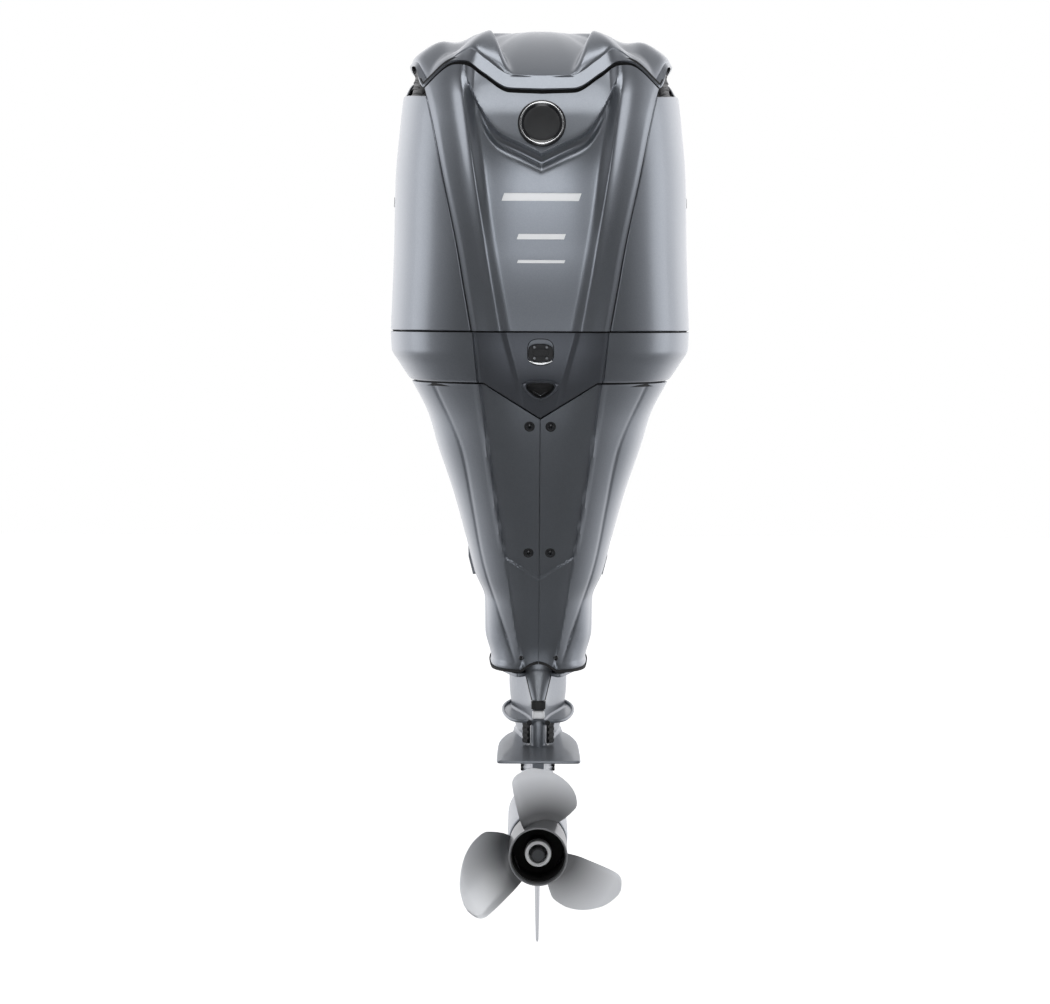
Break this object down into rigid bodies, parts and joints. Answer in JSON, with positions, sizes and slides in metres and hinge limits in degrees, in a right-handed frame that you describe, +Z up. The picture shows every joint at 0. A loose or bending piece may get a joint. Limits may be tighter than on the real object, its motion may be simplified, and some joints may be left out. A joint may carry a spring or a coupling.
{
  "type": "outboard motor",
  "caption": "Large grey outboard motor: tall two-part cowl, tapered apron, gearcase with plates and skeg, bladed propeller with through-hub exhaust, and a tilting, steering transom bracket.",
  "frame": {"origin": "on the centreline, where the boat's transom top edge meets its aft face: the clamp brackets' hooks rest on Z = 0 and their flanges stand against Y = 0", "axes": "+Z up, +Y forward towards the boat, +X starboard; the propeller is aft, on -Y"},
  "size_m": [0.6238, 0.8894, 1.889],
  "materials": {
    "cowl_paint": "metallic grey lacquer",
    "dark_paint": "dark metallic lacquer",
    "painted_alloy": "cast alloy painted metallic grey",
    "cast_alloy": "as cast",
    "steel": "machined",
    "propeller_steel": "satin polished stainless",
    "black_plastic": "satin black",
    "rubber": "matt",
    "zinc": "dull cast anode"
  },
  "bodies": {
    "transom_bracket": {"clamp_bracket_port": "painted_alloy", "clamp_bracket_starboard": "painted_alloy", "tilt_tube": "steel", "lower_cross_pin": "steel", "trim_unit_housing": "painted_alloy", "trim_pump_motor": "black_plastic", "bracket_anode": "zinc"},
    "tilt_ram_cylinder": {"tilt_cylinder": "painted_alloy"},
    "tilt_ram": {"tilt_ram_rod": "steel", "ram_upper_pin": "steel"},
    "trim_rod_port": {"trim_ram_port": "steel"},
    "trim_rod_starboard": {"trim_ram_starboard": "steel"},
    "swivel": {"swivel_bracket": "painted_alloy"},
    "support_lever": {"tilt_support_lever": "steel"},
    "steered_leg": {"steering_arm": "steel", "lower_yoke": "steel", "mount_rubber_lower_port": "rubber", "mount_rubber_lower_starboard": "rubber", "midsection_housing": "cast_alloy", "apron_port": "cowl_paint", "apron_starboard": "cowl_paint", "apron_screw_1": "steel", "apron_screw_2": "steel", "apron_screw_3": "steel", "apron_screw_4": "steel", "bottom_cowl": "cowl_paint", "rear_shield": "dark_paint", "exhaust_outlet_bezel": "dark_paint", "cowl_seal": "rubber", "cylinder_block": "cast_alloy", "cylinder_head_port": "cast_alloy", "cylinder_head_starboard": "cast_alloy", "intake_manifold": "black_plastic", "exhaust_guide_plate": "cast_alloy", "starter_motor": "black_plastic", "oil_filter": "black_plastic", "engine_control_unit": "black_plastic", "water_pump_housing": "black_plastic", "gearcase": "painted_alloy", "bearing_carrier": "cast_alloy"},
    "top_cowl": {"cowl_shell": "cowl_paint", "cowl_rear_panel": "cowl_paint", "cowl_top_cap": "cowl_paint", "air_intake_grille_port": "black_plastic", "air_intake_grille_starboard": "black_plastic", "badge_disc": "black_plastic"},
    "rear_latch": {"rear_latch_lever": "dark_paint"},
    "tilt_rocker": {"tilt_switch": "black_plastic"},
    "crank_train": {"crankshaft": "steel", "flywheel": "steel", "driveshaft": "steel", "pinion_gear": "steel", "water_pump_impeller": "rubber"},
    "forward_gear_body": {"forward_gear": "steel"},
    "reverse_gear_body": {"reverse_gear": "steel"},
    "prop": {"propeller_shaft": "steel", "propeller": "propeller_steel", "propeller_nut": "steel"},
    "clutch": {"dog_clutch": "steel"},
    "shifter": {"shift_rod": "steel"}
  },
  "joints": [
    {"name": "tilt", "type": "hinge", "parent": "transom_bracket", "child": "swivel", "pos_m": [0, 0.03, 0.035], "axis": [-1, 0, 0], "range_deg": [0, 70]},
    {"name": "steer", "type": "hinge", "parent": "swivel", "child": "steered_leg", "pos_m": [0, -0.135, 0], "axis": [0, 0, 1], "range_deg": [-30, 30]},
    {"name": "tilt_cylinder_swing", "type": "hinge", "parent": "transom_bracket", "child": "tilt_ram_cylinder", "pos_m": [0, -0.04, -0.31], "axis": [-1, 0, 0], "range_deg": [-1, 2]},
    {"name": "tilt_ram_extend", "type": "slide", "parent": "tilt_ram_cylinder", "child": "tilt_ram", "axis": [0, -0.0859, 0.9963], "range_m": [0, 0.131]},
    {"name": "trim_rod_port_extend", "type": "slide", "parent": "transom_bracket", "child": "trim_rod_port", "axis": [0, -0.6392, 0.769], "range_m": [0, 0.062]},
    {"name": "trim_rod_starboard_extend", "type": "slide", "parent": "transom_bracket", "child": "trim_rod_starboard", "axis": [0, -0.6392, 0.769], "range_m": [0, 0.062]},
    {"name": "support_lever_swing", "type": "hinge", "parent": "swivel", "child": "support_lever", "pos_m": [-0.0895, -0.076, -0.02], "axis": [1, 0, 0], "range_deg": [0, 40]},
    {"name": "top_cowl_lift", "type": "slide", "parent": "steered_leg", "child": "top_cowl", "axis": [0, 0, 1], "range_m": [0, 0.63]},
    {"name": "rear_latch_pull", "type": "hinge", "parent": "steered_leg", "child": "rear_latch", "pos_m": [0, -0.6575, 0.179], "axis": [-1, 0, 0], "range_deg": [0, 45]},
    {"name": "tilt_rocker_press", "type": "hinge", "parent": "steered_leg", "child": "tilt_rocker", "pos_m": [0.305, -0.25, 0.168], "axis": [0, 1, 0], "range_deg": [-8, 8], "stiffness_Nm_per_rad": 0.4},
    {"name": "crank_spin", "type": "hinge", "parent": "steered_leg", "child": "crank_train", "pos_m": [0, -0.265, 0], "axis": [0, 0, -1], "continuous": true},
    {"name": "forward_gear_spin", "type": "hinge", "parent": "steered_leg", "child": "forward_gear_body", "pos_m": [0, -0.265, -0.838], "axis": [0, 1, 0], "continuous": true},
    {"name": "reverse_gear_spin", "type": "hinge", "parent": "steered_leg", "child": "reverse_gear_body", "pos_m": [0, -0.265, -0.838], "axis": [0, 1, 0], "continuous": true},
    {"name": "propeller_spin", "type": "hinge", "parent": "steered_leg", "child": "prop", "pos_m": [0, -0.265, -0.838], "axis": [0, 1, 0], "continuous": true},
    {"name": "shift_rod_turn", "type": "hinge", "parent": "steered_leg", "child": "shifter", "pos_m": [0, -0.205, 0], "axis": [0, 0, -1], "range_deg": [0, 30]},
    {"name": "clutch_shift", "type": "slide", "parent": "prop", "child": "clutch", "axis": [0, -1, 0], "range_m": [0, 0.0055]}
  ],
  "couplings": [
    {"joint": "tilt_cylinder_swing", "follows": "tilt", "ratio": 0.02},
    {"joint": "tilt_ram_extend", "follows": "tilt", "m_per_rad": 0.106},
    {"joint": "trim_rod_port_extend", "follows": "tilt", "m_per_rad": 0.05},
    {"joint": "trim_rod_starboard_extend", "follows": "tilt", "m_per_rad": 0.05},
    {"joint": "forward_gear_spin", "follows": "crank_spin", "ratio": 0.57143},
    {"joint": "reverse_gear_spin", "follows": "crank_spin", "ratio": -0.57143},
    {"joint": "propeller_spin", "follows": "crank_spin", "ratio": 0.57143},
    {"joint": "clutch_shift", "follows": "shift_rod_turn", "m_per_rad": 0.0105}
  ]
}
